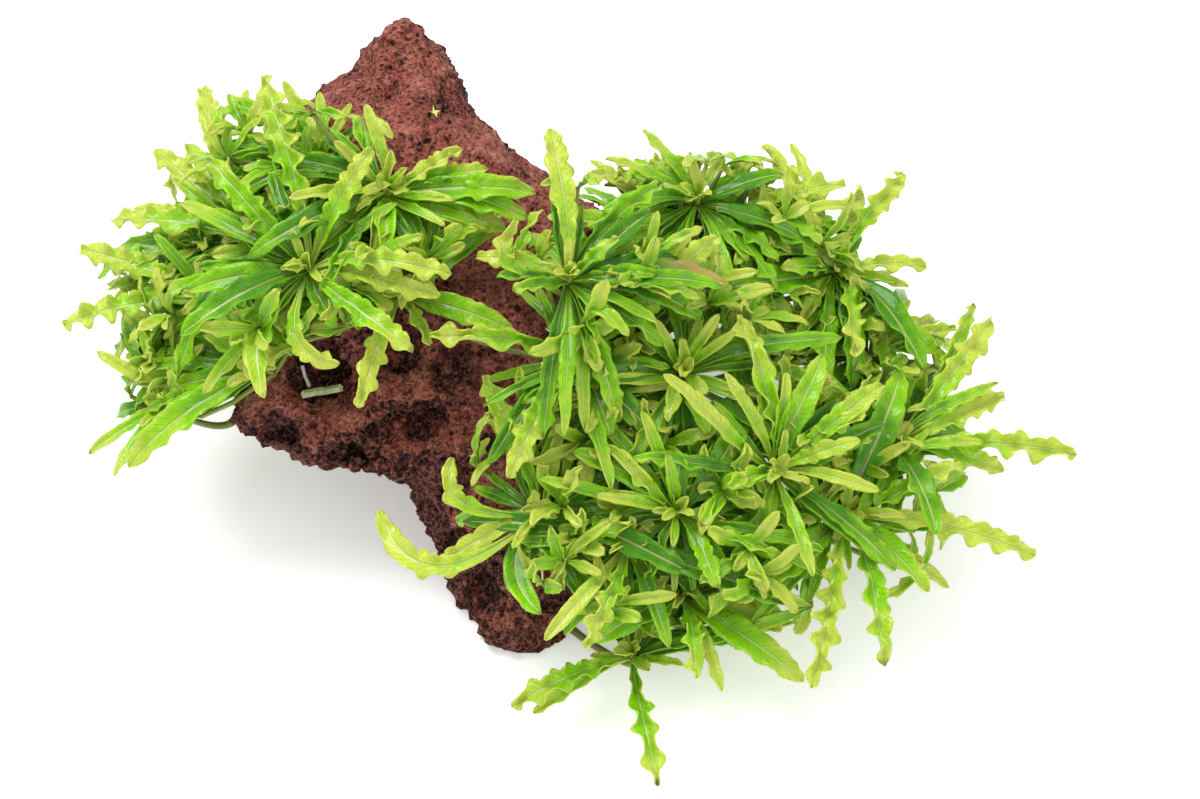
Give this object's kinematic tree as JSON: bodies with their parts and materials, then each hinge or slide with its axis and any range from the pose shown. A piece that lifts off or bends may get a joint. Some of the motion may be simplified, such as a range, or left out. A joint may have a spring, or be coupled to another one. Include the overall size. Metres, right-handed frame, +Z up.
{
  "type": "aquarium plant on stone",
  "caption": "Bushy aquarium plants with wavy-edged bright green leaves, growing in cushions over a lump of rough reddish-brown lava stone with a flat underside.",
  "frame": {"origin": "on the stone's flat underside, below its middle", "axes": "+Z up from the flat underside; +Y towards the stone's high bare end, the way the picture looks; +X towards the cushion of plants that spreads over the ground"},
  "size_m": [0.2547, 0.1992, 0.1058],
  "materials": {
    "lava_stone": "matte",
    "leaf_green": "satin",
    "root_white": "satin"
  },
  "bodies": {
    "root": {"cut_stem": "leaf_green", "lava_stone": "lava_stone", "loose_root": "root_white", "plant_left_back": "leaf_green", "plant_left_centre": "leaf_green", "plant_left_low": "leaf_green", "plant_left_middle": "leaf_green", "plant_left_rear": "leaf_green", "plant_left_side": "leaf_green", "plant_left_tip": "leaf_green", "plant_left_top": "leaf_green", "plant_left_upper": "leaf_green", "plant_right_arm": "leaf_green", "plant_right_bud": "leaf_green", "plant_right_centre": "leaf_green", "plant_right_corner": "leaf_green", "plant_right_crest": "leaf_green", "plant_right_edge": "leaf_green", "plant_right_fan": "leaf_green", "plant_right_foot": "leaf_green", "plant_right_front": "leaf_green", "plant_right_heart": "leaf_green", "plant_right_low": "leaf_green", "plant_right_reach": "leaf_green", "plant_right_rear_end": "leaf_green", "plant_right_rear_high": "leaf_green", "plant_right_rear_low": "leaf_green", "plant_right_rise": "leaf_green", "plant_right_shoulder": "leaf_green", "plant_right_star": "leaf_green", "plant_right_summit": "leaf_green", "plant_right_terrace": "leaf_green", "seedling": "leaf_green"}
  },
  "joints": []
}
